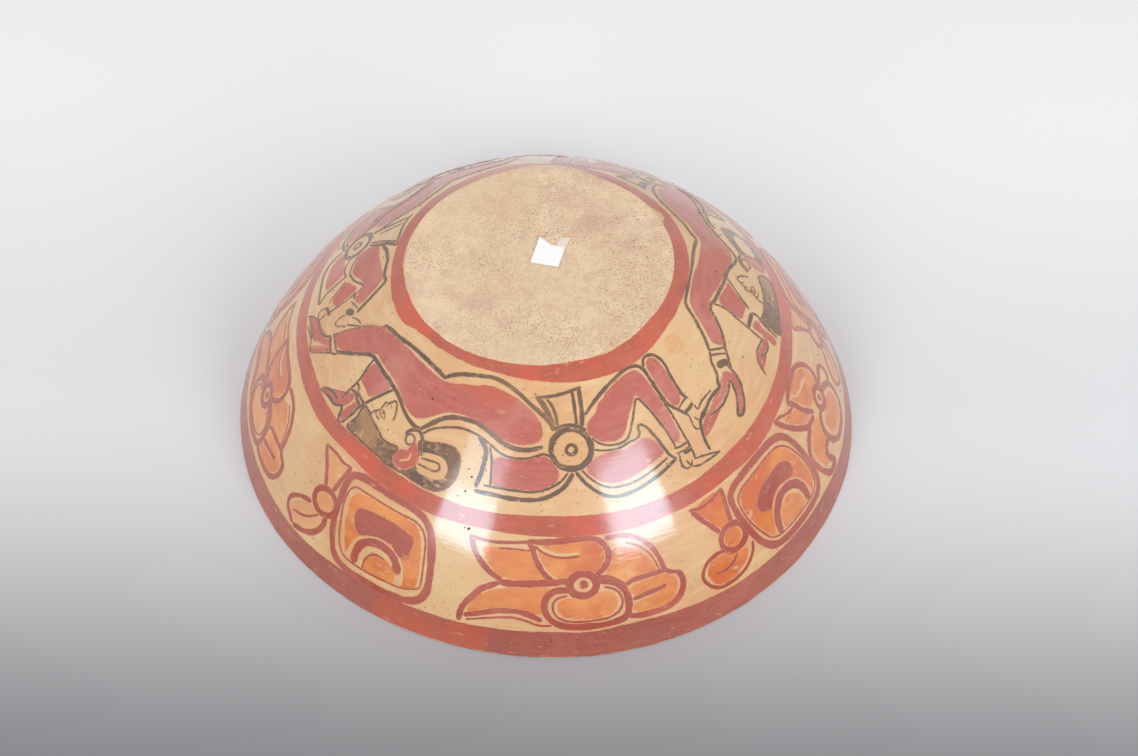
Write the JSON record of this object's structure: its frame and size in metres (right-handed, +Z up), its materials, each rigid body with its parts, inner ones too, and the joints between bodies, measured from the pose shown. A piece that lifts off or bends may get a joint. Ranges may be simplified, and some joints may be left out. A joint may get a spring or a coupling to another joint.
{
  "type": "pottery bowl",
  "caption": "Round-shouldered earthenware bowl with a flat base, stored upside down on its rim, with a burnished cream slip and red painted bands.",
  "frame": {"origin": "centre of the circle that the rim stands on, at the level of that surface", "axes": "+Z up through the base disc, as the bowl is stored upside down; -Y towards the side that is seen in the picture; +X to its right"},
  "size_m": [0.2987, 0.2988, 0.1036],
  "materials": {
    "clay": "unslipped, matt, with fine pits",
    "cream_slip": "burnished slip, glossy",
    "red_slip": "burnished slip, streaked by the brush",
    "orange_slip": "burnished slip, laid on thin",
    "dark_slip": "burnished slip, drawn as lines",
    "paper": "matt, torn, blank"
  },
  "bodies": {
    "root": {"base_slab": "clay", "shoulder_course": "clay", "belly_course": "clay", "upper_course": "clay", "lip_coil": "clay", "cream_slip_figure_zone": "cream_slip", "cream_slip_frieze_zone": "cream_slip", "red_base_band": "red_slip", "red_middle_band": "red_slip", "red_rim_band": "red_slip", "blank_label": "paper"}
  },
  "joints": []
}
